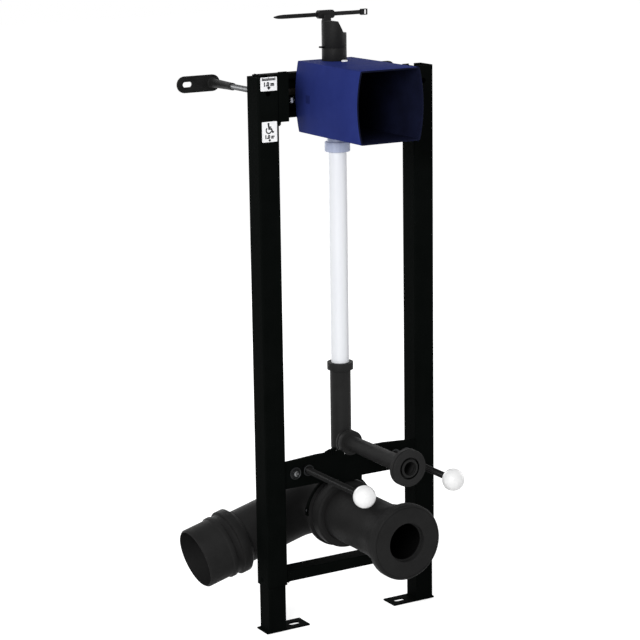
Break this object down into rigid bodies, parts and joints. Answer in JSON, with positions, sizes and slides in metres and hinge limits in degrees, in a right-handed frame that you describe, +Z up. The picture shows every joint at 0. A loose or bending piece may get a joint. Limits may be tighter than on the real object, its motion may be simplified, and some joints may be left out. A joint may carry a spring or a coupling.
{
  "type": "wall hung toilet frame",
  "caption": "Narrow steel frame on height-adjustable legs that carries a wall hung toilet bowl, with flush pipe, waste bend, valve box and wall anchors.",
  "frame": {"origin": "middle of the left foot plate's underside, on the floor", "axes": "+X from the left upright to the right one, -Y towards the room, +Y towards the wall, +Z up"},
  "size_m": [0.492, 0.4105, 1.082],
  "materials": {
    "black_nylon": "satin",
    "black_polyethylene": "satin",
    "black_steel": "black passivated",
    "blue_moulding": "satin",
    "grey_moulding": "matt",
    "pale_nut": "satin",
    "powder_coated_steel": "satin",
    "seal_rubber": "matt",
    "white_cap_plastic": "gloss",
    "white_pipe": "satin",
    "zinc_plated_steel": "zinc plated"
  },
  "bodies": {
    "left_foot": {"left_leg": "powder_coated_steel", "left_foot_plate": "powder_coated_steel"},
    "frame": {"box_rail": "powder_coated_steel", "branch_reducer": "black_polyethylene", "cable_tie": "black_nylon", "flush_bend": "black_polyethylene", "flush_connector": "black_polyethylene", "flush_nut": "pale_nut", "flush_pipe": "white_pipe", "flush_seal": "seal_rubber", "inlet_base": "grey_moulding", "inlet_cap": "grey_moulding", "left_anchor_nuts": "black_steel", "left_anchor_rod": "zinc_plated_steel", "left_bowl_rod": "zinc_plated_steel", "left_box_arm": "powder_coated_steel", "left_box_bracket": "powder_coated_steel", "left_end_plate": "powder_coated_steel", "left_plate_screw": "zinc_plated_steel", "left_rod_ball": "white_cap_plastic", "left_rod_nuts": "zinc_plated_steel", "left_upright": "powder_coated_steel", "lower_crossbar": "powder_coated_steel", "mounting_plate": "powder_coated_steel", "right_anchor_nuts": "black_steel", "right_anchor_rod": "zinc_plated_steel", "right_bowl_rod": "zinc_plated_steel", "right_box_arm": "powder_coated_steel", "right_box_bracket": "powder_coated_steel", "right_end_plate": "powder_coated_steel", "right_plate_screw": "zinc_plated_steel", "right_rod_ball": "white_cap_plastic", "right_rod_nuts": "zinc_plated_steel", "right_upright": "powder_coated_steel", "tie_post": "black_nylon", "valve_box": "blue_moulding", "waste_bend": "black_polyethylene", "waste_collar": "black_polyethylene"},
    "right_foot": {"right_leg": "powder_coated_steel", "right_foot_plate": "powder_coated_steel"},
    "left_wall_anchor": {"left_anchor_sleeve": "zinc_plated_steel", "left_anchor_plate": "black_steel"},
    "right_wall_anchor": {"right_anchor_sleeve": "zinc_plated_steel", "right_anchor_plate": "black_steel"}
  },
  "joints": [
    {"name": "frame_height", "type": "slide", "parent": "left_foot", "child": "frame", "axis": [0, 0, 1], "range_m": [-0.075, 0.115]},
    {"name": "right_leg_length", "type": "slide", "parent": "frame", "child": "right_foot", "axis": [0, 0, -1], "range_m": [-0.075, 0.115]},
    {"name": "left_anchor_reach", "type": "slide", "parent": "frame", "child": "left_wall_anchor", "axis": [0, 1, 0], "range_m": [-0.017, 0.035]},
    {"name": "right_anchor_reach", "type": "slide", "parent": "frame", "child": "right_wall_anchor", "axis": [0, 1, 0], "range_m": [-0.017, 0.035]}
  ]
}
